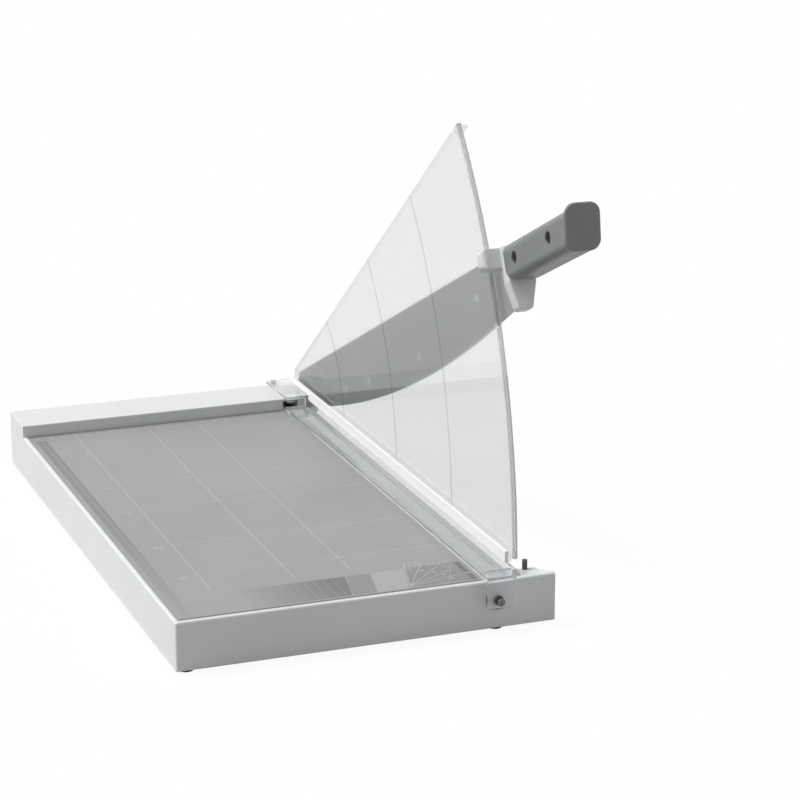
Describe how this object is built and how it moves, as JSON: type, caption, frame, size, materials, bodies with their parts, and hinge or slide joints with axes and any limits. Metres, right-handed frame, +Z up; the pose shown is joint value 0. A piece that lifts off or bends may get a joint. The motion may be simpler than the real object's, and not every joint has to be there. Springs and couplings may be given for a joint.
{
  "type": "lever paper trimmer",
  "caption": "Lever paper trimmer: a printed board with a paper stop, a spring-raised clear clamp with an upright fan-shaped blade guard, and a hinged curved blade with a grip.",
  "frame": {"origin": "on the table, under the middle of the whole outline with the arm half raised", "axes": "+X from the paper side towards the blade, +Y from the handle end towards the paper stop, +Z up"},
  "size_m": [0.281, 0.596, 0.3456],
  "materials": {
    "light_paint": "fine matt powder coat on steel",
    "light_paint_cast": "light grey paint on die-cast aluminium",
    "board_grey": "matt, printed grid lines",
    "cover_grey": "moulded, fine texture",
    "plain_steel": "zinc plated",
    "dark_steel": "blackened",
    "blade_steel": "ground and polished along its length",
    "bronze": "turned",
    "foot_rubber": "matt",
    "clear_plastic": "clear moulded plastic",
    "white_plastic": "satin moulded",
    "nylon": "plain",
    "grip_plastic": "fine moulded texture"
  },
  "bodies": {
    "base": {"base_housing": "light_paint", "front_panel": "light_paint", "cutting_board": "board_grey", "bottom_cover": "cover_grey", "paper_stop_rail": "light_paint", "stiffener_1": "plain_steel", "stiffener_2": "plain_steel", "fixed_blade": "blade_steel", "fixed_blade_screws": "plain_steel", "fixed_blade_nuts": "plain_steel", "front_panel_screws": "plain_steel", "rail_screws": "plain_steel", "cover_screws": "plain_steel", "foot_near_left": "foot_rubber", "foot_near_right": "foot_rubber", "foot_far_left": "foot_rubber", "foot_far_right": "foot_rubber", "foot_screws": "plain_steel", "pivot_block": "light_paint_cast", "pivot_block_screws": "plain_steel", "pivot_block_nuts": "plain_steel", "pivot_bolt": "plain_steel", "pivot_nut": "plain_steel", "thrust_washer": "bronze", "outer_washer": "plain_steel", "disc_spring": "plain_steel", "arm_buffer": "foot_rubber", "lift_spring_front": "plain_steel", "lift_spring_rear": "plain_steel"},
    "clamp": {"clamp_bar": "clear_plastic", "blade_guard": "clear_plastic", "guard_edge_bead": "clear_plastic", "guard_rib": "white_plastic", "clamp_screw_front": "dark_steel", "clamp_screw_rear": "dark_steel", "clamp_slider_front": "nylon", "clamp_slider_rear": "nylon"},
    "arm": {"arm_casting": "light_paint_cast", "blade": "blade_steel", "blade_screws": "plain_steel", "pivot_bush": "bronze", "handle_left_shell": "grip_plastic", "handle_right_shell": "grip_plastic", "handle_inserts": "bronze", "handle_screws": "dark_steel"}
  },
  "joints": [
    {"name": "arm_hinge", "type": "hinge", "parent": "base", "child": "arm", "pos_m": [0.1185, 0.26384, 0.0415], "axis": [-1, 0, 0], "range_deg": [-22.5, 12.2]},
    {"name": "clamp_slide", "type": "slide", "parent": "base", "child": "clamp", "axis": [0, 0, -1], "range_m": [0, 0.0018], "stiffness_N_per_m": 1200, "springref_m": -0.005, "deforming": ["lift_spring_front", "lift_spring_rear"]}
  ]
}
